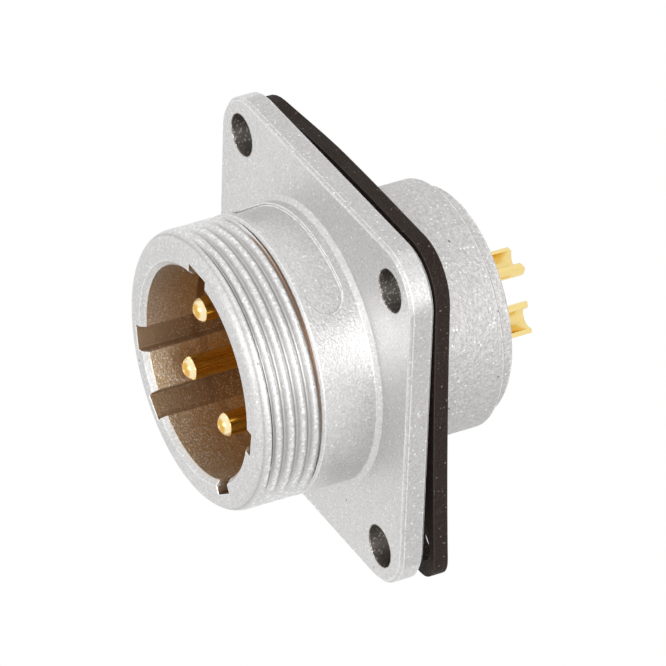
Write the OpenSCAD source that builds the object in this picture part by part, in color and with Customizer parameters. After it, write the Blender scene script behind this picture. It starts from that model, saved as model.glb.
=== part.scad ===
// Square-flange panel receptacle: a die-cast threaded shell that holds five turned pins with solder cups.
// Millimetres. The connector's axis lies along Y: the mating face looks along -Y, the solder cups along +Y.
// The origin is on that axis, in the plane of the flange's rear face, and Z is up.
// Inside each module the axis stands along Z with the mating face upward; mating_frame() lays it down.

/* [Show] */
// Piece to draw

/* [Flange] */
// Side of the square flange
flange_side = 30.1; // [28:0.1:34]
// Thickness of the flange
flange_t = 2.0; // [1.5:0.1:4]
// Radius of the flange's corners
flange_corner_r = 4.2; // [1.5:0.1:4.5]
// Edge break round the flange, front and rear
flange_edge = 0.25; // [0.1:0.05:0.5]
// Distance of each fixing hole's centre from the flange's sides
hole_inset = 3.3; // [2.8:0.1:3.6]
// Diameter of the fixing holes
hole_d = 3.4; // [2.5:0.1:3.6]

/* [Coupling end] */
// Height of the mating rim above the flange's rear face
front_h = 12.15; // [11:0.05:18]
// Crest diameter of the coupling thread
thread_d = 22.0; // [21.8:0.1:22.6]
// Radius of the rounded nose at the mating rim
nose_r = 1.2; // [0.5:0.05:1.25]
// Diameter of the collar between thread and flange
collar_d = 22.1; // [21.8:0.1:22.8]
// Height of the collar's shoulder above the flange's rear face
collar_h = 6.85; // [6.6:0.05:7.5]
// Width of the relief groove between collar and thread
relief_w = 0.2; // [0.1:0.05:0.8]
// Diameter at the bottom of the relief groove
relief_d = 21.2; // [19.9:0.1:21.4]
// Leg of the fillet where the collar meets the flange
collar_fillet = 0.35; // [0.1:0.05:0.6]

/* [Socket and keyways] */
// Diameter of the mating socket
socket_d = 16.84; // [16.4:0.02:17.4]
// Chamfer at the socket's mouth
socket_chamfer = 0.4; // [0.1:0.05:0.6]
// Distance of each keyway's flat bottom from the axis
keyway_reach = 9.45; // [9:0.05:9.6]
// Width of the master keyway at the top
master_key_w = 2.7; // [2.2:0.1:3.2]
// Width of the other keyways
key_w = 2.1; // [1.6:0.1:2.6]

/* [Label pad] */
// Angle of the pad each side of the top
pad_half_angle = 43.8; // [30:0.1:55]
// Width of the pad along the axis
pad_w = 3.1; // [2:0.1:3.6]
// Height of the pad's middle line above the flange's rear face
pad_h = 4.6; // [4.2:0.05:4.9]
// Depth of the pad's bare field below the collar
pad_depth = 0.25; // [0.1:0.05:0.4]

/* [Rear barrel] */
// Diameter of the rear barrel
barrel_d = 19.8; // [19.2:0.1:20.4]
// Length of the rear barrel behind the flange
barrel_len = 9.45; // [9.2:0.05:14]
// Diameter of the lip at the end of the barrel
lip_d = 18.2; // [17.8:0.1:18.8]
// Length of the lip
lip_len = 1.15; // [0.6:0.05:2]
// Diameter of the bore that takes the insulators
insert_bore_d = 16.4; // [16:0.05:16.8]
// Radial width of the stop rib between socket and insert bore
rib_w = 0.6; // [0.4:0.05:0.9]
// Height of the stop rib's rear face above the flange's rear face
rib_seat_h = 0.5; // [0.2:0.1:1]
// Thickness of the stop rib
rib_t = 1.2; // [0.8:0.1:2]

/* [Insulators] */
// Height of the front insulator's pin face above the stop rib
face_proud = 0.9; // [0.3:0.1:2]
// Thickness of the front insulator's rim below the stop rib
front_rim_t = 3.0; // [2.4:0.1:4]
// Length of the rear insulator
rear_insulator_len = 6.1; // [5:0.1:7]
// Side clearance of the insulators in the shell
insulator_clearance = 0.05; // [0.02:0.01:0.2]
// Width of the key that stops the insulators turning
insert_key_w = 1.6; // [1:0.1:2.4]
// Height of that key above the insulator's rim
insert_key_h = 0.35; // [0.2:0.05:0.5]

/* [Retaining ring] */
// Thickness of the spring ring
ring_t = 0.8; // [0.5:0.05:0.85]
// Depth of the ring's groove in the insert bore
ring_groove_depth = 0.35; // [0.2:0.05:0.6]
// Radial width of the ring
ring_w = 1.1; // [0.8:0.1:1.5]
// Width of the ring's gap
ring_gap = 5.0; // [3:0.5:8]
// Side clearance of the ring in its groove
ring_clearance = 0.05; // [0.02:0.01:0.1]

/* [Contacts] */
// Diameter of the circle the contacts stand on
contact_circle_d = 9.0; // [8:0.1:9.6]
// Diameter of the mating pins
pin_d = 1.9; // [1.5:0.05:2]
// Length of the mating pins ahead of the shoulder
pin_len = 11.8; // [10:0.05:12.4]
// Height of the domed nose on each pin
pin_nose_h = 0.6; // [0.3:0.05:0.7]
// Diameter of the shoulder that holds each contact between the insulators
shoulder_d = 3.0; // [2.7:0.1:3.6]
// Length of that shoulder, which is also how far the short-reach contacts stand back
shoulder_len = 1.6; // [1.2:0.1:2]
// Diameter of the contact's tail and solder cup
tail_d = 2.5; // [2.3:0.05:2.6]
// Length of the tail behind the shoulder
tail_len = 10.5; // [9.6:0.1:12]
// Inside diameter of the solder cup
cup_bore_d = 1.8; // [1.4:0.05:1.9]
// Depth of the solder cup
cup_depth = 4.4; // [3:0.1:5]
// Length of the cut that opens the cup's side
cup_cut_len = 3.9; // [2.5:0.1:4.2]
// Distance of that cut from the contact's axis
cup_cut_offset = 0.4; // [0:0.05:0.6]
// Turn of each cup's opening from straight outward
cup_turn = 24; // [0:1:90]
// Radius that rounds the cut at its inner corner and at the cup's mouth
cup_cut_r = 0.4; // [0.1:0.05:0.8]
// Radial clearance of the contacts in the insulators
contact_clearance = 0.05; // [0.02:0.01:0.1]

/* [Gasket] */
// Thickness of the rubber gasket
gasket_t = 1.2; // [1:0.1:2.5]
// Distance of the gasket's sides inside the flange's
gasket_inset = 0.35; // [0.2:0.05:0.6]
// Radius of the gasket's corners
gasket_corner_r = 2.2; // [1:0.1:3]
// Clearance of the gasket round the barrel
gasket_clearance = 0.25; // [0.15:0.05:0.5]
// Diameter of the gasket's fixing holes, which grip the screws
gasket_hole_d = 3.0; // [2.6:0.1:3]
// Turn of the loose gasket on the barrel
gasket_turn = 1.0; // [0:0.1:1.5]
// Distance by which the loose gasket hangs down on the barrel
gasket_drop = 0.1; // [0:0.05:0.15]
// Height of the line below which the gasket bows off the flange
bow_start = 13.0; // [11:0.5:14]
// Radius of that bow
bow_r = 240; // [220:10:800]

/* [Hidden] */

// Facet counts: large turned faces, small holes and pins, and the gasket's shallow bow
ring_fn = 96;
small_fn = 32;
bow_fn = 1080;
// Overlap that carries a cut past the face it opens
past = 1;

// Contacts 1 to 3 reach furthest forward; 4 and 5 stand back by one shoulder length
contact_angles = [121, 213, 297, 59, -1];
stands_back = [false, false, false, true, true];
// The four ordinary keyways; the master keyway is at the top
master_key_angle = 88;
key_angles = [-4, -55, -131, -166];
insert_key_angle = 90;

hole_spacing = flange_side - 2 * hole_inset;
thread_end = collar_h + relief_w;
barrel_end = -barrel_len;
lip_end = barrel_end - lip_len;
edge_break = 0.18;
nose_steps = 8;

rib_top = rib_seat_h + rib_t;
insert_r = insert_bore_d / 2;
rib_d = insert_bore_d - 2 * rib_w;
front_rim_end = rib_seat_h - front_rim_t;
rear_insulator_end = front_rim_end - rear_insulator_len;
groove_r = insert_r + ring_groove_depth;

contact_r = contact_circle_d / 2;
pin_hole_d = pin_d + 2 * contact_clearance;
shoulder_hole_d = shoulder_d + 2 * contact_clearance;
tail_hole_d = tail_d + 2 * contact_clearance;
shoulder_top = front_rim_end + shoulder_len;

// Lays the axis down: module Z becomes -Y, module Y becomes Z
module mating_frame() {
    rotate([90, 0, 0]) children();
}

// Places children on the contact circle at the angle of contact i
module at_contact(i) {
    rotate([0, 0, contact_angles[i]]) translate([contact_r, 0, 0]) children();
}

module fixing_holes(d, bottom, top) {
    for (x = [-1, 1], y = [-1, 1])
        translate([x * hole_spacing / 2, y * hole_spacing / 2, bottom])
            cylinder(d = d, h = top - bottom, $fn = small_fn);
}

// Bar across the flange with both long edges broken
module flange_bar(length) {
    half = flange_side / 2;
    e = flange_edge;
    rotate([90, 0, 90])
        linear_extrude(height = length, center = true)
            polygon([
                [-half + e, 0], [half - e, 0], [half, e], [half, flange_t - e],
                [half - e, flange_t], [-half + e, flange_t], [-half, flange_t - e], [-half, e]
            ]);
}

// Square flange: two crossed bars and four turned corners
module flange_plate() {
    inset = flange_side / 2 - flange_corner_r;
    e = flange_edge;
    r = flange_corner_r;
    flange_bar(2 * inset);
    rotate([0, 0, 90]) flange_bar(2 * inset);
    for (x = [-1, 1], y = [-1, 1])
        translate([x * inset, y * inset, 0])
            rotate_extrude($fn = ring_fn)
                polygon([[0, 0], [r - e, 0], [r, e], [r, flange_t - e], [r - e, flange_t], [0, flange_t]]);
}

// Rounded square that trims the gasket
module gasket_outline() {
    side = flange_side - 2 * gasket_inset;
    reach = side / 2 - gasket_corner_r;
    square([side, 2 * reach], center = true);
    square([2 * reach, side], center = true);
    for (x = [-1, 1], y = [-1, 1])
        translate([x * reach, y * reach]) circle(r = gasket_corner_r, $fn = ring_fn);
}

// Quarter round from the thread's crest to the mating rim
function nose_arc() = [
    for (k = [0 : nose_steps])
        let (a = 90 * k / nose_steps)
            [thread_d / 2 - nose_r * (1 - cos(a)), front_h - nose_r * (1 - sin(a))]
];

// Turned outside of the casting, from the lip to the mating rim; the coupling thread is drawn at its crest
module shell_body() {
    rotate_extrude($fn = ring_fn)
        polygon([
            [0, lip_end], [lip_d / 2 - edge_break, lip_end], [lip_d / 2, lip_end + edge_break],
            [lip_d / 2, barrel_end], [barrel_d / 2 - edge_break, barrel_end],
            [barrel_d / 2, barrel_end + edge_break], [barrel_d / 2, flange_t / 2],
            [collar_d / 2 + collar_fillet, flange_t / 2], [collar_d / 2 + collar_fillet, flange_t],
            [collar_d / 2, flange_t + collar_fillet], [collar_d / 2, collar_h - edge_break],
            [collar_d / 2 - edge_break, collar_h], [relief_d / 2, collar_h],
            [relief_d / 2, thread_end], [thread_d / 2 - edge_break, thread_end],
            [thread_d / 2, thread_end + edge_break], each nose_arc(), [0, front_h]
        ]);
}

// Everything turned out of the inside: socket, stop rib, insert bore and ring groove
module shell_bores() {
    mouth = socket_chamfer + past;
    rotate_extrude($fn = ring_fn)
        polygon([
            [0, lip_end - past], [insert_r, lip_end - past], [insert_r, rear_insulator_end - ring_t],
            [groove_r, rear_insulator_end - ring_t], [groove_r, rear_insulator_end],
            [insert_r, rear_insulator_end], [insert_r, rib_seat_h], [rib_d / 2, rib_seat_h],
            [rib_d / 2, rib_top], [socket_d / 2, rib_top], [socket_d / 2, front_h - socket_chamfer],
            [socket_d / 2 + mouth, front_h + past], [0, front_h + past]
        ]);
}

// Flat-bottomed keyway from the mating rim down to the stop rib
module keyway(angle, width) {
    rotate([0, 0, angle])
        translate([0, -width / 2, rib_top])
            cube([keyway_reach, width, front_h - rib_top + past]);
}

// Slot in the insert bore for the insulators' key
module insert_key_slot() {
    reach = insert_r + insert_key_h;
    width = insert_key_w + 2 * insulator_clearance;
    rotate([0, 0, insert_key_angle])
        translate([0, -width / 2, lip_end - past])
            cube([reach, width, rib_seat_h - lip_end + past]);
}

// Shallow round-ended label pad sunk into the top of the collar
module label_pad() {
    end_r = pad_w / 2;
    reach = collar_d / 2 * sin(pad_half_angle) - end_r;
    difference() {
        translate([0, collar_d / 2 + past, pad_h]) rotate([90, 0, 0])
            linear_extrude(height = collar_d / 2) {
                square([2 * reach, pad_w], center = true);
                for (side = [-1, 1]) translate([side * reach, 0]) circle(r = end_r, $fn = small_fn);
            }
        cylinder(r = collar_d / 2 - pad_depth, h = front_h, $fn = ring_fn);
    }
}

module shell() {
    color("silver") mating_frame() difference() {
        union() {
            shell_body();
            flange_plate();
        }
        shell_bores();
        keyway(master_key_angle, master_key_w);
        for (a = key_angles) keyway(a, key_w);
        insert_key_slot();
        label_pad();
        fixing_holes(hole_d, -past, flange_t + past);
    }
}

// Side view of the gasket: flat above bow_start, then curving away from the flange
module gasket_side() {
    half = flange_side / 2 + past;
    translate([bow_start, -gasket_t]) square([half - bow_start, gasket_t]);
    intersection() {
        translate([bow_start, -bow_r]) difference() {
            circle(r = bow_r, $fn = bow_fn);
            circle(r = bow_r - gasket_t, $fn = bow_fn);
        }
        translate([-half, -3 * gasket_t]) square([half + bow_start, 4 * gasket_t]);
    }
}

module flange_gasket() {
    deep = 4 * gasket_t;
    color("dimgray") mating_frame() difference() {
        rotate([90, 0, 90]) linear_extrude(height = flange_side + 2 * past, center = true) gasket_side();
        translate([0, -gasket_drop, 0]) rotate([0, 0, gasket_turn]) {
            translate([0, 0, -deep]) linear_extrude(height = deep + past) difference() {
                square(2 * flange_side, center = true);
                gasket_outline();
            }
            translate([0, 0, -deep])
                cylinder(r = barrel_d / 2 + gasket_clearance, h = deep + past, $fn = ring_fn);
            fixing_holes(gasket_hole_d, -deep, past);
        }
    }
}

// Key on an insulator's rim
module insulator_key(bottom, height) {
    r = insert_r + insert_key_h - insulator_clearance;
    rotate([0, 0, insert_key_angle])
        translate([0, -insert_key_w / 2, bottom]) cube([r, insert_key_w, height]);
}

// Front insulator: pin face through the stop rib, rim seated under it, pockets for the forward shoulders
module front_insulator() {
    rim_r = insert_r - insulator_clearance;
    color("saddlebrown") mating_frame() difference() {
        union() {
            translate([0, 0, front_rim_end])
                cylinder(r = rib_d / 2 - insulator_clearance, h = rib_top + face_proud - front_rim_end, $fn = ring_fn);
            translate([0, 0, front_rim_end]) cylinder(r = rim_r, h = front_rim_t, $fn = ring_fn);
            insulator_key(front_rim_end, front_rim_t);
        }
        for (i = [0 : len(contact_angles) - 1]) at_contact(i) {
            translate([0, 0, front_rim_end - past])
                cylinder(d = pin_hole_d, h = rib_top + face_proud - front_rim_end + 2 * past, $fn = small_fn);
            if (!stands_back[i])
                translate([0, 0, front_rim_end - past])
                    cylinder(d = shoulder_hole_d, h = shoulder_len + past, $fn = small_fn);
        }
    }
}

// Rear insulator: backs the forward shoulders and holds the short-reach ones in its own pockets
module rear_insulator() {
    rim_r = insert_r - insulator_clearance;
    color("peru") mating_frame() difference() {
        union() {
            translate([0, 0, rear_insulator_end]) cylinder(r = rim_r, h = rear_insulator_len, $fn = ring_fn);
            insulator_key(rear_insulator_end, rear_insulator_len);
        }
        for (i = [0 : len(contact_angles) - 1]) at_contact(i) {
            translate([0, 0, rear_insulator_end - past])
                cylinder(d = tail_hole_d, h = rear_insulator_len + 2 * past, $fn = small_fn);
            if (stands_back[i])
                translate([0, 0, front_rim_end - shoulder_len])
                    cylinder(d = shoulder_hole_d, h = shoulder_len + past, $fn = small_fn);
        }
    }
}

// Open spring ring that snaps in behind the rear insulator
module retaining_ring() {
    outer_r = groove_r - ring_clearance;
    color("gray") mating_frame() translate([0, 0, rear_insulator_end - ring_t]) difference() {
        cylinder(r = outer_r, h = ring_t, $fn = ring_fn);
        translate([0, 0, -past]) cylinder(r = outer_r - ring_w, h = ring_t + 2 * past, $fn = ring_fn);
        rotate([0, 0, insert_key_angle])
            translate([0, -ring_gap / 2, -past]) cube([2 * outer_r, ring_gap, ring_t + 2 * past]);
    }
}

// Mating pin with a domed nose: a shaft trimmed by a ball that is wider than the shaft
module mating_pin(bottom, apex) {
    ball_r = (pin_d * pin_d / 4 + pin_nose_h * pin_nose_h) / (2 * pin_nose_h);
    ball_h = apex - ball_r;
    intersection() {
        translate([0, 0, bottom]) cylinder(d = pin_d, h = apex - bottom + past, $fn = small_fn);
        union() {
            translate([0, 0, ball_h]) sphere(r = ball_r, $fn = small_fn);
            translate([0, 0, bottom - past]) cylinder(r = pin_d, h = ball_h - bottom + past, $fn = small_fn);
        }
    }
}

// Side view of the cut that opens a solder cup: X outward, Y from the cup's mouth to the cut's end
module cup_cut_side() {
    r = cup_cut_r;
    mouth_h = 0.9 * r;
    translate([cup_cut_offset, -past]) square([tail_d, cup_cut_len - r + past]);
    translate([cup_cut_offset + r, -past]) square([tail_d, cup_cut_len + past]);
    translate([cup_cut_offset + r, cup_cut_len - r]) circle(r = r, $fn = small_fn);
    difference() {
        translate([cup_cut_offset - r, -past]) square([2 * r, mouth_h + past]);
        translate([cup_cut_offset - r, mouth_h]) circle(r = r, $fn = small_fn);
    }
}

// One turned contact: domed pin, shoulder, tail and side-opened solder cup
module pin_contact(i) {
    top = shoulder_top - (stands_back[i] ? shoulder_len : 0);
    tail_end = top - shoulder_len - tail_len;
    color("gold") mating_frame() at_contact(i) difference() {
        union() {
            mating_pin(top - shoulder_len, top + pin_len);
            translate([0, 0, top - shoulder_len]) cylinder(d = shoulder_d, h = shoulder_len, $fn = small_fn);
            translate([0, 0, tail_end]) cylinder(d = tail_d, h = tail_len, $fn = small_fn);
        }
        translate([0, 0, tail_end - past]) cylinder(d = cup_bore_d, h = cup_depth + past, $fn = small_fn);
        rotate([0, 0, cup_turn])
            translate([0, 0, tail_end]) rotate([90, 0, 0])
                linear_extrude(height = 2 * tail_d, center = true) cup_cut_side();
    }
}

module pin_contact_1() { pin_contact(0); }
module pin_contact_2() { pin_contact(1); }
module pin_contact_3() { pin_contact(2); }
module pin_contact_4() { pin_contact(3); }
module pin_contact_5() { pin_contact(4); }

shell();
flange_gasket();
front_insulator();
rear_insulator();
retaining_ring();
pin_contact_1();
pin_contact_2();
pin_contact_3();
pin_contact_4();
pin_contact_5();
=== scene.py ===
"""Looks of a square-flange circular connector receptacle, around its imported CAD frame.

Metres throughout, in the frame's own axes: -Y is the mating side, +Y the solder side, +Z up.
"""
import math

import bpy
import numpy as np
from mathutils import Matrix, Vector
from mathutils.geometry import delaunay_2d_cdt


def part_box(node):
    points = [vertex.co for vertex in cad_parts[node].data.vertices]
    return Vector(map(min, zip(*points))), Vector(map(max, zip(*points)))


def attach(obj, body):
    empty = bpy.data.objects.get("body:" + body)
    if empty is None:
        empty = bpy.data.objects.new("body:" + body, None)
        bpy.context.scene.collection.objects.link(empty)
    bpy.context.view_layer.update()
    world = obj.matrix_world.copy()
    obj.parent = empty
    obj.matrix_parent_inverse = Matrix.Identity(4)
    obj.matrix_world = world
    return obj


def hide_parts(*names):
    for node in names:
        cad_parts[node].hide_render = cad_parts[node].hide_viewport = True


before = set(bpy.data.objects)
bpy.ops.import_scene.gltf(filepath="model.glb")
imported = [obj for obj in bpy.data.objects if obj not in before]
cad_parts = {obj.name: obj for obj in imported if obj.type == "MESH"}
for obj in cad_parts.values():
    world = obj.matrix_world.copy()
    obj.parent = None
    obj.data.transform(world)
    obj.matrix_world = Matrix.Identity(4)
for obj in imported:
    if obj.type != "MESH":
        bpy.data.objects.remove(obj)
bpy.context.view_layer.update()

MM = 0.001

SHELL_LOW, SHELL_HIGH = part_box("shell")
RIM_Y = SHELL_LOW.y
LIP_Y = SHELL_HIGH.y
FLOOR_Z = SHELL_LOW.z
CENTRE = (SHELL_LOW + SHELL_HIGH) / 2
HOLE_INSET = 3.3 * MM
HOLE_OFFSET = SHELL_HIGH.x - HOLE_INSET


# ---------------------------------------------------------------- camera

LENS = 366.65
CAMERA_PLACE = Vector((0.370280, -0.210434, 0.294608))
CAMERA_BACK = Vector((0.715083, -0.406285, 0.568848))
CAMERA_RIGHT = Vector((0.476579, 0.878670, 0.028474))


def make_camera():
    """Long lens from the right of the mating side, rolled a little clockwise."""
    data = bpy.data.cameras.new("camera")
    data.sensor_width = 36.0
    data.lens = LENS
    data.clip_start, data.clip_end = 0.05, 20.0
    camera = bpy.data.objects.new("camera", data)
    bpy.context.scene.collection.objects.link(camera)
    back = CAMERA_BACK.normalized()
    right = (CAMERA_RIGHT - back * CAMERA_RIGHT.dot(back)).normalized()
    turn = Matrix((right, back.cross(right), back)).transposed()
    camera.matrix_world = Matrix.Translation(CAMERA_PLACE) @ turn.to_4x4()
    bpy.context.scene.camera = camera


# ---------------------------------------------------------------- shader helpers

class Shader:
    """A node material under construction, with short calls for the nodes used here."""

    def __init__(self, name):
        self.material = bpy.data.materials.new(name)
        self.material.use_nodes = True
        self.nodes = self.material.node_tree.nodes
        self.links = self.material.node_tree.links
        self.surface = self.nodes["Principled BSDF"]
        self.place = self.node("ShaderNodeTexCoord").outputs["Object"]

    def node(self, kind, **settings):
        made = self.nodes.new(kind)
        for key, value in settings.items():
            setattr(made, key, value)
        return made

    def feed(self, socket, value):
        if isinstance(value, bpy.types.NodeSocket):
            self.links.new(value, socket)
        else:
            socket.default_value = value

    def math(self, operation, a, b=0.0):
        made = self.node("ShaderNodeMath", operation=operation)
        self.feed(made.inputs[0], a)
        self.feed(made.inputs[1], b)
        return made.outputs[0]

    def times(self, first, *others):
        for other in others:
            first = self.math("MULTIPLY", first, other)
        return first

    def ramp(self, value, low, high, to_low=0.0, to_high=1.0):
        """Smooth step of value from low to high."""
        made = self.node("ShaderNodeMapRange", interpolation_type="SMOOTHSTEP")
        for socket, number in zip(made.inputs, (value, low, high, to_low, to_high)):
            self.feed(socket, number)
        return made.outputs[0]

    def noise(self, size, detail=2.0, roughness=0.5, stretch=None):
        """Noise whose features are about size metres across."""
        made = self.node("ShaderNodeTexNoise")
        place = self.place
        if stretch:
            mapping = self.node("ShaderNodeMapping")
            self.links.new(place, mapping.inputs["Vector"])
            mapping.inputs["Scale"].default_value = stretch
            place = mapping.outputs[0]
        self.links.new(place, made.inputs["Vector"])
        made.inputs["Scale"].default_value = 1.0 / size
        made.inputs["Detail"].default_value = detail
        made.inputs["Roughness"].default_value = roughness
        return made.outputs["Fac"]

    def cells(self, size):
        made = self.node("ShaderNodeTexVoronoi")
        self.links.new(self.place, made.inputs["Vector"])
        made.inputs["Scale"].default_value = 1.0 / size
        return made

    def mix(self, amount, first, second):
        made = self.node("ShaderNodeMix", data_type="RGBA")
        self.feed(made.inputs["Factor"], amount)
        self.feed(made.inputs[6], first)
        self.feed(made.inputs[7], second)
        return made.outputs[2]

    def xyz(self, vector=None):
        """The X, Y and Z of a vector, or of the place on the object."""
        split = self.node("ShaderNodeSeparateXYZ")
        self.links.new(self.place if vector is None else vector, split.inputs[0])
        return split.outputs

    def length(self, a, b):
        return self.math("SQRT", self.math("ADD", self.math("POWER", a, 2.0), self.math("POWER", b, 2.0)))

    def axis_radius(self):
        """(distance from the connector's axis, position along Y)."""
        at = self.xyz()
        return self.length(at["X"], at["Z"]), at["Y"]

    def cell_value(self, size):
        """A random number for each crystal about size metres across."""
        split = self.node("ShaderNodeSeparateColor")
        self.links.new(self.cells(size).outputs["Color"], split.inputs[0])
        return split.outputs[0]

    def between(self, along, start, end, soft=0.06 * MM):
        """1 from start to end behind the mating rim, with soft ends."""
        after = self.ramp(along, RIM_Y + start - soft, RIM_Y + start + soft)
        return self.times(after, self.ramp(along, RIM_Y + end + soft, RIM_Y + end - soft))

    def on_thread(self, along):
        return self.between(along, 0.4 * MM, 5.0 * MM)

    def edge(self, reach):
        """1 on outer and inner edges, 0 on faces."""
        bevel = self.node("ShaderNodeBevel", samples=8)
        bevel.inputs["Radius"].default_value = reach
        turned = self.node("ShaderNodeVectorMath", operation="DOT_PRODUCT")
        self.links.new(bevel.outputs[0], turned.inputs[0])
        self.links.new(self.node("ShaderNodeNewGeometry").outputs["Normal"], turned.inputs[1])
        return self.ramp(turned.outputs["Value"], 0.997, 0.955)

    def bump(self, height, distance, edge):
        """Relief of distance metres, over edges rounded by edge metres."""
        made = self.node("ShaderNodeBump")
        made.inputs["Strength"].default_value = 1.0
        made.inputs["Distance"].default_value = distance
        self.links.new(height, made.inputs["Height"])
        bevel = self.node("ShaderNodeBevel", samples=8)
        bevel.inputs["Radius"].default_value = edge
        self.links.new(bevel.outputs[0], made.inputs["Normal"])
        self.links.new(made.outputs[0], self.surface.inputs["Normal"])

    def set(self, **values):
        for key, value in values.items():
            self.feed(self.surface.inputs[key.replace("_", " ")], value)


def grey(level, warm=0.0):
    return (level * (1 + warm), level, level * (1 - warm), 1.0)


# ---------------------------------------------------------------- materials

PIT_DARK = grey(0.14, 0.14)
LIP_STEP_SHADE = (0.40, 0.29, 0.20, 1.0)
HOLE_WALL_SHADE = (0.30, 0.27, 0.24, 1.0)
KEYWAY_FLOOR_SHADE = (0.48, 0.36, 0.25, 1.0)
KEYWAY_SHADE = (0.07, 0.045, 0.035, 1.0)
RELIEF_GROOVE_SHADE = (0.34, 0.22, 0.15, 1.0)
CREASE_SHADE = (0.06, 0.045, 0.035, 1.0)


def plated_casting():
    """Nickel-plated die-casting: crystal grain, soft clouds, pits, painted bright highlights on edges and
    thread crests, painted glints, painted shade in grooves, holes and on the flange's sides, and a painted
    brown reflection and shade inside the socket.
    """
    s = Shader("plated_casting")
    radius, along = s.axis_radius()
    grain = s.noise(0.20 * MM, detail=3.0, roughness=0.65)
    coarse = s.noise(0.32 * MM, detail=3.0, roughness=0.6)
    lot = s.cell_value(0.13 * MM)
    pits = s.ramp(s.cells(1.3 * MM).outputs["Distance"], 0.04, 0.10, 1.0, 0.0)
    pits = s.times(pits, s.ramp(s.noise(2.6 * MM), 0.60, 0.66))
    behind = s.ramp(along, -0.05 * MM, 0.05 * MM)
    colour = s.mix(s.noise(5 * MM, detail=3.0), grey(0.71, 0.008), grey(0.80, 0.008))
    colour = s.mix(behind, colour, grey(0.70, 0.012))
    # Painted shade: the flange's sides are darker than its front.
    colour = s.mix(on_flange_side(s), colour, grey(0.60, 0.012))
    colour = s.mix(s.ramp(grain, 0.35, 0.70, 0.32, 0.0), colour, grey(0.36, 0.02))
    colour = s.mix(s.ramp(lot, 0.0, 0.5, 0.16, 0.0), colour, grey(0.30, 0.02))
    colour = s.mix(s.ramp(lot, 0.5, 1.0, 0.0, 0.14), colour, grey(1.0, 0.0))
    mottle = s.times(behind, s.ramp(coarse, 0.40, 0.60, 0.24, 0.0))
    colour = s.mix(mottle, colour, grey(0.36, 0.03))
    # Painted glints: sparse near-white specks that stand in for sparkle.
    colour = s.mix(s.ramp(lot, 0.970, 0.995, 0.0, 0.8), colour, grey(0.96, 0.0))
    # Painted highlight on the thread's crests and painted shade in its roots.
    crest = s.times(s.on_thread(along), s.ramp(radius, 10.86 * MM, 10.97 * MM))
    root = s.times(s.on_thread(along), s.ramp(radius, 10.88 * MM, 10.68 * MM, 0.0, 0.65))
    colour = s.mix(s.times(crest, s.ramp(coarse, 0.50, 0.60, 0.0, 0.8)), colour, grey(0.97, 0.0))
    colour = s.mix(root, colour, grey(0.40, 0.03))
    # Painted highlight along the edges.
    colour = s.mix(s.times(painted_edge_highlight(s, radius, along), s.ramp(coarse, 0.30, 0.55)), colour, grey(0.98, 0.0))
    # Painted shade in the corner of the lip's step.
    colour = s.mix(shade_beside_lip(s, along), colour, LIP_STEP_SHADE)
    colour = s.mix(s.times(pits, 0.75), colour, PIT_DARK)
    # Painted shade on the fixing holes' walls, with lighter specks.
    hole_shade_colour = s.mix(s.ramp(lot, 0.80, 0.90), HOLE_WALL_SHADE, grey(0.7, 0.03))
    colour = s.mix(in_fixing_hole(s), colour, hole_shade_colour)
    # Painted reflection and shade inside the socket.
    colour = s.mix(in_socket(s, radius, along), colour, socket_reflection_shade(s, grain, radius, along))
    keyway = in_keyway(s, radius, along)
    lowest = s.ramp(s.xyz()["Z"], -8.0 * MM, -8.5 * MM)
    # Painted shade on the keyways' floors, darkest in the lowest keyway.
    colour = s.mix(keyway, colour, KEYWAY_FLOOR_SHADE)
    colour = s.mix(s.times(keyway, lowest), colour, KEYWAY_SHADE)
    colour = s.mix(in_relief(s, radius, along), colour, RELIEF_GROOVE_SHADE)
    colour = s.mix(first_crease_shade(s, radius, along), colour, CREASE_SHADE)
    s.set(Base_Color=colour, Metallic=1.0)
    s.set(Roughness=s.math("ADD", s.ramp(grain, 0.2, 0.8, 0.36, 0.52), s.times(behind, 0.2)))
    height = s.times(grain, s.ramp(behind, 0.0, 1.0, 0.6, 1.0))
    height = s.math("ADD", height, s.times(coarse, s.ramp(behind, 0.0, 1.0, 0.2, 2.4)))
    height = s.math("SUBTRACT", height, s.times(pits, 1.6))
    s.bump(height, 0.05 * MM, edge=0.14 * MM)
    return s.material


def painted_edge_highlight(s, radius, along):
    """Up to 1 on the edges, where a bright highlight is painted; hardly on the collar's fillet and not on
    the thread.
    """
    fillet = s.times(s.between(along, 9.5 * MM, 10.3 * MM), s.ramp(radius, 12.6 * MM, 11.8 * MM))
    edge_shine = s.times(s.edge(0.16 * MM), s.ramp(fillet, 0.0, 1.0, 1.0, 0.1))
    return s.times(edge_shine, s.ramp(s.on_thread(along), 0.0, 1.0, 1.0, 0.0))


def on_flange_side(s):
    """1 on the four sides of the flange, where painted shade darkens the plating."""
    at = s.xyz()
    out = s.math("MAXIMUM", s.math("ABSOLUTE", at["X"]), s.math("ABSOLUTE", at["Z"]))
    return s.ramp(out, SHELL_HIGH.x - 0.20 * MM, SHELL_HIGH.x - 0.05 * MM)


def in_relief(s, radius, along):
    """Up to 1 in the groove between thread and collar, where a brown shade is painted, most of all at its
    top.
    """
    groove = s.times(s.ramp(radius, 10.72 * MM, 10.62 * MM), s.between(along, 4.7 * MM, 5.36 * MM))
    return s.times(groove, s.ramp(s.xyz()["Z"], -6 * MM, 6 * MM, 0.25, 1.0))


def shade_beside_lip(s, along):
    """Up to 0.7 in the corner between the rear barrel and its lip, where a brown shade is painted."""
    after = s.ramp(along, LIP_Y - 1.27 * MM, LIP_Y - 1.17 * MM)
    before = s.ramp(along, LIP_Y - 0.98 * MM, LIP_Y - 1.08 * MM)
    return s.times(after, before, 0.7, s.ramp(s.noise(1.5 * MM), 0.35, 0.6))


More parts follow.
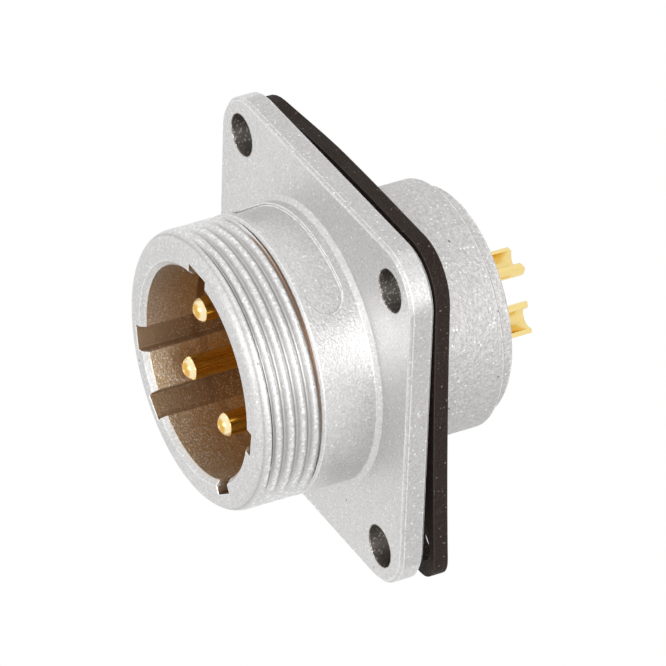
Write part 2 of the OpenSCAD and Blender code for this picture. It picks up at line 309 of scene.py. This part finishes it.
def in_fixing_hole(s):
    """1 on the walls of the flange's fixing holes, where shade is painted."""
    at = s.xyz()
    across, above = (s.math("SUBTRACT", s.math("ABSOLUTE", at[axis]), HOLE_OFFSET) for axis in "XZ")
    return s.ramp(s.length(across, above), 1.80 * MM, 1.72 * MM)


def in_socket(s, radius, along):
    """1 on the walls of the socket, ahead of the rib that seats the insulators."""
    in_bore = s.ramp(radius, 9.75 * MM, 9.55 * MM)
    in_front = s.ramp(along, RIM_Y + 0.12 * MM, RIM_Y + 0.7 * MM)
    return s.times(in_bore, in_front, s.ramp(along, -0.35 * MM, -0.45 * MM))


def in_keyway(s, radius, along):
    """Up to 1 on the bottoms of the keyways, most of all at the mouth."""
    deep = s.times(s.ramp(radius, 8.85 * MM, 9.0 * MM), s.ramp(radius, 9.65 * MM, 9.55 * MM))
    mouth = s.ramp(along, RIM_Y + 0.03 * MM, RIM_Y + 0.09 * MM)
    return s.times(deep, mouth, s.ramp(along, RIM_Y + 8 * MM, RIM_Y))


def socket_reflection_shade(s, grain, radius, along):
    """Painted warm reflection of the brown insulator and painted shade in the socket's bore: greyer near the
    mouth and higher up, darker in the keyways and lowest down, with painted glint specks.
    """
    low_mouth, high_mouth = (0.70, 0.57, 0.41, 1.0), (0.88, 0.84, 0.80, 1.0)
    height = s.xyz()["Z"]
    depth = s.ramp(along, RIM_Y + 0.5 * MM, RIM_Y + 8 * MM)
    mouth = s.mix(s.ramp(height, -5 * MM, 3 * MM), low_mouth, high_mouth)
    brown = s.mix(depth, mouth, (0.92, 0.66, 0.37, 1.0))
    brown = s.mix(s.ramp(grain, 0.60, 0.35, 0.0, 0.5), brown, (0.60, 0.42, 0.24, 1.0))
    # Painted shade in the keyways.
    brown = s.mix(s.ramp(radius, 8.55 * MM, 8.75 * MM, 0.0, 0.6), brown, (0.42, 0.29, 0.17, 1.0))
    # Painted shade at the bottom of the bore.
    brown = s.mix(s.ramp(height, -8.45 * MM, -8.75 * MM), brown, (0.14, 0.09, 0.07, 1.0))
    # Painted glints: near-white specks.
    return s.mix(s.ramp(s.cell_value(0.085 * MM), 0.84, 0.90), brown, (1.0, 1.0, 0.96, 1.0))


def first_crease_shade(s, radius, along):
    """Painted shade line along the fine fold at the first groove's bottom, where that groove is deep."""
    at = s.xyz()
    angle = s.times(s.math("ARCTAN2", at["Z"], at["X"]), 180 / math.pi)
    turned = s.times(s.math("SUBTRACT", angle, FIRST_GROOVE_ANGLE), THREAD_PITCH / 360.0)
    off = s.math("ABSOLUTE", s.math("SUBTRACT", along, s.math("SUBTRACT", FIRST_GROOVE, turned)))
    wander = s.ramp(s.noise(1.6 * MM, detail=3.0), 0.40, 0.50)
    line = s.times(s.ramp(off, 0.03 * MM, 0.085 * MM, 1.0, 0.0), wander)
    line = s.times(line, s.ramp(angle, -34.0, -18.0), s.ramp(angle, 104.0, 84.0))
    return s.times(line, s.ramp(radius, 10.2 * MM, 10.4 * MM))


def gold_plate():
    """Gold over turned copper alloy: deep on the pins, paler on the cups, with a painted pale highlight and
    darker ring on the tips, painted shade in hollows, and faint turning marks.
    """
    s = Shader("gold_plate")
    rings = s.noise(0.12 * MM, detail=2.0, stretch=(1.0, 0.12, 1.0))
    along = s.axis_radius()[1]
    tone = s.mix(s.noise(1.2 * MM), (1.0, 0.60, 0.07, 1.0), (0.94, 0.66, 0.16, 1.0))
    tone = s.mix(s.ramp(along, 5 * MM, 9 * MM), tone, (0.92, 0.72, 0.30, 1.0))
    # Painted highlight on the pins' noses: pale, with a darker amber ring.
    rounded = s.node("ShaderNodeBevel", samples=8)
    rounded.inputs["Radius"].default_value = 0.3 * MM
    facing = s.xyz(rounded.outputs[0])["Y"]
    tip = s.times(s.ramp(facing, -0.2, -0.4), s.ramp(along, -5 * MM, -7 * MM))
    ring = s.times(s.ramp(facing, -0.74, -0.88), s.ramp(facing, -0.996, -0.975))
    tone = s.mix(tip, tone, s.mix(ring, (0.99, 0.84, 0.52, 1.0), (0.78, 0.46, 0.10, 1.0)))
    # Painted shade in the hollows.
    painted_hollow_shade = s.node("ShaderNodeAmbientOcclusion", samples=4)
    painted_hollow_shade.inputs["Distance"].default_value = 1.2 * MM
    tone = s.mix(s.ramp(painted_hollow_shade.outputs["AO"], 0.85, 0.30, 0.0, 0.8), tone, (0.50, 0.27, 0.05, 1.0))
    s.set(Base_Color=tone, Metallic=1.0, Roughness=s.ramp(rings, 0.2, 0.8, 0.16, 0.30))
    s.bump(rings, 0.006 * MM, edge=0.08 * MM)
    return s.material


def gasket_rubber():
    """Dull black rubber with a brown bloom, fine dust and a painted highlight along its edges."""
    s = Shader("gasket_rubber")
    bloom = s.noise(3 * MM, detail=4.0)
    dust = s.noise(0.12 * MM, detail=1.0)
    colour = s.mix(bloom, (0.018, 0.011, 0.008, 1.0), (0.028, 0.018, 0.014, 1.0))
    colour = s.mix(s.ramp(dust, 0.45, 0.75, 0.0, 0.5), colour, (0.075, 0.060, 0.052, 1.0))
    colour = s.mix(s.ramp(s.cell_value(0.12 * MM), 0.982, 0.998), colour, (0.20, 0.16, 0.14, 1.0))
    # Painted highlight along the edges.
    colour = s.mix(s.times(s.edge(0.14 * MM), 0.5), colour, (0.11, 0.095, 0.085, 1.0))
    s.set(Base_Color=colour, Metallic=0.0, Roughness=s.ramp(bloom, 0.3, 0.7, 0.55, 0.70))
    s.set(Specular_IOR_Level=0.12)
    s.bump(dust, 0.02 * MM, edge=0.12 * MM)
    return s.material


def insulator_resin():
    """Dark brown moulded resin with filler flecks."""
    s = Shader("insulator_resin")
    flecks = s.cell_value(0.18 * MM)
    bands = s.noise(2.0 * MM, detail=3.0)
    colour = s.mix(bands, (0.24, 0.13, 0.055, 1.0), (0.32, 0.18, 0.080, 1.0))
    colour = s.mix(s.ramp(flecks, 0.9, 1.0), colour, (0.40, 0.26, 0.14, 1.0))
    s.set(Base_Color=colour, Metallic=0.0, Roughness=0.42)
    s.bump(s.noise(0.2 * MM), 0.01 * MM, edge=0.1 * MM)
    return s.material


def spring_steel():
    """Drawn spring wire, brushed along its run."""
    s = Shader("spring_steel")
    drawn = s.noise(0.1 * MM, detail=3.0, stretch=(1.0, 4.0, 1.0))
    s.set(Base_Color=s.mix(drawn, grey(0.36), grey(0.52)), Metallic=1.0)
    s.set(Roughness=s.ramp(drawn, 0.2, 0.8, 0.25, 0.42))
    s.bump(drawn, 0.008 * MM, edge=0.06 * MM)
    return s.material


# ---------------------------------------------------------------- coupling thread

THREAD_PITCH = 1.03 * MM
THREAD_DEPTH = 0.38 * MM
THREAD_CREST = 11.0 * MM
RELIEF_START = RIM_Y + 5.1 * MM
THREAD_END = RIM_Y + 5.23 * MM
NOSE_R = 1.2 * MM
RUN_OUT_ANGLE = 112.0
# The photo's outline is smooth here and opposite. Taking these for the die's parting planes is a guess.
PARTING_ANGLE = 128.5
FIRST_GROOVE = RIM_Y + 1.17 * MM
FIRST_GROOVE_ANGLE = 4.0
# The threaded surface ends inside the metal, at these radii at the rim and at the relief
RIM_TUCK_R = 9.7 * MM
RELIEF_TUCK_R = 10.5 * MM
REAR_EDGE = 0.04 * MM
# Keeps its first ring just behind the rim's flat face
HAIR = 0.002 * MM


def smooth(value, low, high):
    t = np.clip((value - low) / (high - low), 0.0, 1.0)
    return t * t * (3 - 2 * t)


def groove_depth(y, angle):
    """Depth of the rounded right-hand thread at y and angle, over the one turn that ends at the run-out.

    The thread is full between the two parting planes and dies out on them.
    """
    groove = FIRST_GROOVE - (angle - FIRST_GROOVE_ANGLE) / 360.0 * THREAD_PITCH
    turns = (y - groove) / THREAD_PITCH
    narrow = 1.0 + 1.0 * smooth(angle, RUN_OUT_ANGLE - 360.0, RUN_OUT_ANGLE - 240.0)
    turns = np.where(turns < 0, np.maximum(turns * narrow, -0.5), turns)
    wave = (0.5 + 0.5 * np.cos(2 * math.pi * turns)) ** 1.3
    fade = 1 - smooth(angle, RUN_OUT_ANGLE - 30.0, RUN_OUT_ANGLE)
    wave = np.where(turns < 0.5, wave * fade, wave)
    from_parting = np.abs((angle - PARTING_ANGLE + 90.0) % 180.0 - 90.0)
    return THREAD_DEPTH * smooth(from_parting, 4.0, 42.0) * wave


def threaded_end():
    """(points, faces, normals) of the coupling end from the relief to the mating rim, with its thread."""
    around, nose_rows, wall_rows = 360, 18, 96
    slope = np.radians(np.linspace(90.0, 0.0, nose_rows, endpoint=False))
    nose_end = RIM_Y + NOSE_R
    wall = np.linspace(nose_end, THREAD_END - REAR_EDGE, wall_rows)
    base_r = np.concatenate([THREAD_CREST - NOSE_R * (1 - np.cos(slope)), np.full(wall_rows, THREAD_CREST)])
    base_y = np.concatenate([RIM_Y + NOSE_R * (1 - np.sin(slope)), wall])
    out_r = np.concatenate([np.cos(slope), np.ones(wall_rows)])
    out_y = np.concatenate([-np.sin(slope), np.zeros(wall_rows)])
    angles = RUN_OUT_ANGLE - 360.0 + 360.0 * np.arange(around) / around
    a, y = np.meshgrid(angles, base_y, indexing="ij")
    deep = groove_depth(y, a)
    r = base_r[None] - deep * out_r[None]
    y = base_y[None] - deep * out_y[None]
    tuck_y = np.full((around, 1), RIM_Y + HAIR)
    tuck_r = np.full((around, 1), RIM_TUCK_R)
    foot_r = np.minimum(r[:, -1:], THREAD_CREST - REAR_EDGE)
    r = np.concatenate([tuck_r, r, foot_r, np.full((around, 1), RELIEF_TUCK_R)], axis=1)
    y = np.concatenate([tuck_y, y, np.full((around, 2), THREAD_END)], axis=1)
    turn = np.radians(angles)[:, None]
    points = np.stack([r * np.cos(turn), y, r * np.sin(turn)], -1)
    along = np.gradient(points, axis=1)
    across = (np.roll(points, -1, axis=0) - np.roll(points, 1, axis=0)) / 2
    normals = np.cross(along, across)
    normals /= np.linalg.norm(normals, axis=-1, keepdims=True)
    rows = points.shape[1]
    i, k = (grid.reshape(-1) for grid in np.meshgrid(np.arange(around), np.arange(rows - 1), indexing="ij"))
    j = (i + 1) % around
    quads = np.stack([i * rows + k, i * rows + k + 1, j * rows + k + 1, j * rows + k], -1)
    corner_normals = normals.reshape(-1, 3)[quads]
    corner_normals[k == 0] = (0.0, -1.0, 0.0)
    corner_normals[k == rows - 2] = (0.0, 1.0, 0.0)
    chamfer = k == rows - 3
    corner_normals[chamfer, 1] = corner_normals[chamfer, 0]
    corner_normals[chamfer, 2] = corner_normals[chamfer, 3]
    return points.reshape(-1, 3), quads, corner_normals


def visual_shell(material):
    """The CAD shell with its plain crest cylinder and nose replaced by the threaded end."""
    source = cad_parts["shell"].data
    points = np.empty(len(source.vertices) * 3)
    source.vertices.foreach_get("co", points)
    points = points.reshape(-1, 3)
    corners = np.empty(len(source.loops), dtype=int)
    source.loops.foreach_get("vertex_index", corners)
    triangles = corners.reshape(-1, 3)
    normals = np.empty(len(source.loops) * 3)
    source.corner_normals.foreach_get("vector", normals)
    normals = normals.reshape(-1, 3, 3)
    radius = np.hypot(points[:, 0], points[:, 2])[triangles]
    y = points[:, 1][triangles]
    slack = 0.01 * MM
    plain = (radius.min(1) > THREAD_CREST - NOSE_R - slack) & (y.max(1) < RELIEF_START + slack)
    used, kept = np.unique(triangles[~plain], return_inverse=True)
    end_points, quads, end_normals = threaded_end()
    faces = kept.reshape(-1, 3).tolist() + (quads + len(used)).tolist()
    mesh = bpy.data.meshes.new("threaded_shell")
    mesh.from_pydata(np.concatenate([points[used], end_points]).tolist(), [], faces)
    mesh.shade_smooth()
    all_normals = np.concatenate([normals[~plain].reshape(-1, 3), end_normals.reshape(-1, 3)])
    mesh.normals_split_custom_set(all_normals.tolist())
    mesh.materials.append(material)
    made = bpy.data.objects.new("threaded_shell", mesh)
    bpy.context.scene.collection.objects.link(made)
    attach(made, "root")
    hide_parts("shell")


# ---------------------------------------------------------------- gasket

GASKET_T = 1.2 * MM
GASKET_HALF = 14.7 * MM
GASKET_TURN = math.radians(1.0)
GASKET_DROP = 0.1 * MM
GASKET_BORE_R = 10.15 * MM
GASKET_HOLE_R = 1.5 * MM
# The lower right hole lies further out than the solid's, so that the photo's sliver of light shows.
# A larger hole in a thicker sheet would show it too.
LOWER_RIGHT = 2
LOOSE_HOLE_SHIFT = 0.8 * MM
UPPER_CORNER_R = 4.0 * MM
LOWER_CORNER_R = 2.2 * MM
# How far the upper edge stands off at its middle, how much less on the right, and the bow in 1/m
UPPER_LIFT = 0.55 * MM
RIGHT_FALL = 0.17 * MM
BOW = 0.83


def gasket_lift(x, z):
    """Distance of the loose gasket off the flange, nothing at the upper left corner and most low down."""
    lift = UPPER_LIFT * smooth(x, -14.5 * MM, -2.0 * MM) - RIGHT_FALL * smooth(x, 0.0, 14.0 * MM)
    return lift + BOW * (GASKET_HALF - z) ** 2


def ring_of(x, z, radius, steps, start=0.0, turn=2 * math.pi):
    angle = start + turn * np.arange(steps) / steps
    return np.stack([x + radius * np.cos(angle), z + radius * np.sin(angle)], -1)


def gasket_edge():
    """Points round the gasket's outline, from the right side anticlockwise, about 1 mm apart."""
    upper, lower = UPPER_CORNER_R, LOWER_CORNER_R
    corners = ((1, 1, upper), (-1, 1, upper), (-1, -1, lower), (1, -1, lower))
    quarter, arc_points = math.pi / 2, 10
    turn = quarter * arc_points / (arc_points - 1)
    arcs = []
    for number, (side, level, radius) in enumerate(corners):
        reach = GASKET_HALF - radius
        arcs.append(ring_of(side * reach, level * reach, radius, arc_points, number * quarter, turn))
    edge = []
    steps = np.linspace(0.0, 1.0, 26)[1:-1, None]
    for arc, following in zip(arcs, arcs[1:] + arcs[:1]):
        edge += [arc, arc[-1] + (following[0] - arc[-1]) * steps]
    return np.concatenate(edge)


def loose_gasket(material):
    """The CAD gasket with the finer bow, rounder upper corners and one moved hole of the loose sheet."""
    rims = [gasket_edge(), ring_of(0.0, 0.0, GASKET_BORE_R, 120)]
    holes = [(x * HOLE_OFFSET, z * HOLE_OFFSET) for x in (-1, 1) for z in (-1, 1)]
    holes[LOWER_RIGHT] = (HOLE_OFFSET + LOOSE_HOLE_SHIFT, -HOLE_OFFSET)
    rims += [ring_of(x, z, GASKET_HOLE_R, 40) for x, z in holes]
    grid = np.stack(np.meshgrid(*[np.arange(-14.0, 14.1, 1.0) * MM] * 2), -1).reshape(-1, 2)
    border = np.concatenate(rims)
    gap = np.linalg.norm(grid[:, None] - border[None], axis=-1).min(1)
    flat = np.concatenate([border, grid[gap > 0.5 * MM]])
    loops, start = [], 0
    for rim in rims:
        number = start + np.arange(len(rim))
        loops.append(np.stack([number, np.roll(number, -1)], -1))
        start += len(rim)
    result = delaunay_2d_cdt([Vector(p) for p in flat / MM], np.concatenate(loops).tolist(), [], 0, 1e-6)
    flat = np.array([list(p) for p in result[0]]) * MM
    sheet = np.array(result[2])
    middle = flat[sheet].mean(1)
    solid = np.hypot(*middle.T) > GASKET_BORE_R
    for hole in holes:
        solid &= np.hypot(*(middle - hole).T) > GASKET_HOLE_R
    corner_r = np.where(middle[:, 1] > 0, UPPER_CORNER_R, LOWER_CORNER_R)[:, None]
    past = np.abs(middle) - (GASKET_HALF - corner_r)
    solid &= ~((past > 0).all(1) & (np.hypot(*past.T) > corner_r[:, 0]))
    sheet = sheet[solid]
    c, n = math.cos(GASKET_TURN), math.sin(GASKET_TURN)
    x = flat[:, 0] * c - flat[:, 1] * n
    z = flat[:, 0] * n + flat[:, 1] * c - GASKET_DROP
    front = gasket_lift(x, z)
    points = np.concatenate([np.stack([x, front, z], -1), np.stack([x, front + GASKET_T, z], -1)])
    count = len(flat)
    edges = np.concatenate([sheet[:, [0, 1]], sheet[:, [1, 2]], sheet[:, [2, 0]]])
    known = {tuple(edge) for edge in edges.tolist()}
    rim_edges = [edge for edge in known if edge[::-1] not in known]
    faces = [tuple(f) for f in sheet.tolist()] + [tuple(f) for f in (sheet[:, ::-1] + count).tolist()]
    faces += [(b, a, a + count, b + count) for a, b in rim_edges]
    mesh = bpy.data.meshes.new("loose_gasket")
    mesh.from_pydata(points.tolist(), [], faces)
    mesh.materials.append(material)
    mesh.shade_smooth()
    mesh.set_sharp_from_angle(angle=math.radians(40))
    made = bpy.data.objects.new("loose_gasket", mesh)
    bpy.context.scene.collection.objects.link(made)
    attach(made, "root")
    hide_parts("flange_gasket")


# ---------------------------------------------------------------- stage and light

def make_floor():
    mesh = bpy.data.meshes.new("floor")
    reach = 3.0
    mesh.from_pydata(
        [(x, y, FLOOR_Z) for x, y in ((-reach, -reach), (reach, -reach), (reach, reach), (-reach, reach))],
        [], [(0, 1, 2, 3)],
    )
    floor = bpy.data.objects.new("floor", mesh)
    bpy.context.scene.collection.objects.link(floor)
    s = Shader("floor_white")
    path = s.node("ShaderNodeLightPath")
    seen = s.math("MAXIMUM", path.outputs["Is Camera Ray"], path.outputs["Is Glossy Ray"])
    seen = s.math("MAXIMUM", seen, path.outputs["Is Transmission Ray"])
    s.set(Base_Color=(0.78, 0.78, 0.78, 1.0), Roughness=0.9)
    white = s.node("ShaderNodeEmission")
    white.inputs["Strength"].default_value = 1.0
    blend = s.node("ShaderNodeMixShader")
    s.links.new(seen, blend.inputs[0])
    s.links.new(s.surface.outputs[0], blend.inputs[1])
    s.links.new(white.outputs[0], blend.inputs[2])
    s.links.new(blend.outputs[0], s.nodes["Material Output"].inputs["Surface"])
    floor.data.materials.append(s.material)


def make_world():
    world = bpy.data.worlds.new("studio")
    bpy.context.scene.world = world
    world.use_nodes = True
    nodes, links = world.node_tree.nodes, world.node_tree.links
    soft = nodes["Background"]
    soft.inputs["Color"].default_value = (1.0, 1.0, 1.0, 1.0)
    soft.inputs["Strength"].default_value = 0.55
    white = nodes.new("ShaderNodeBackground")
    white.inputs["Color"].default_value = (1.0, 1.0, 1.0, 1.0)
    path = nodes.new("ShaderNodeLightPath")
    blend = nodes.new("ShaderNodeMixShader")
    seen = path.outputs["Is Camera Ray"]
    for kind in ("Is Glossy Ray", "Is Transmission Ray"):
        either = nodes.new("ShaderNodeMath")
        either.operation = "MAXIMUM"
        links.new(seen, either.inputs[0])
        links.new(path.outputs[kind], either.inputs[1])
        seen = either.outputs[0]
    links.new(seen, blend.inputs[0])
    links.new(soft.outputs[0], blend.inputs[1])
    links.new(white.outputs[0], blend.inputs[2])
    links.new(blend.outputs[0], nodes["World Output"].inputs["Surface"])


def area_light(name, direction, distance, size, power):
    data = bpy.data.lights.new(name, "AREA")
    data.shape = "DISK"
    data.size = size
    data.energy = power
    lamp = bpy.data.objects.new(name, data)
    bpy.context.scene.collection.objects.link(lamp)
    toward = Vector(direction).normalized()
    lamp.location = CENTRE + toward * distance
    lamp.rotation_mode = "QUATERNION"
    lamp.rotation_quaternion = toward.to_track_quat("Z", "Y")


def make_lights():
    area_light("key_right", (0.90, -0.20, 0.42), 0.5, 0.25, 1.25)
    area_light("top_soft", (-0.25, -0.35, 1.0), 0.6, 0.45, 0.15)
    area_light("front_fill", (0.05, -1.0, 0.05), 0.7, 0.30, 0.8)


# ---------------------------------------------------------------- the part

def dress(node, material):
    """Puts a finished material on a CAD node."""
    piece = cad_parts[node]
    piece.data.materials.clear()
    piece.data.materials.append(material)


def main():
    bpy.context.scene.view_settings.view_transform = "Standard"
    make_camera()
    make_world()
    make_lights()
    make_floor()

    casting = plated_casting()
    gold = gold_plate()
    resin = insulator_resin()
    visual_shell(casting)
    loose_gasket(gasket_rubber())
    dress("front_insulator", resin)
    dress("rear_insulator", resin)
    dress("retaining_ring", spring_steel())
    for node in sorted(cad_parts):
        if node.startswith("pin_contact_"):
            dress(node, gold)


main()
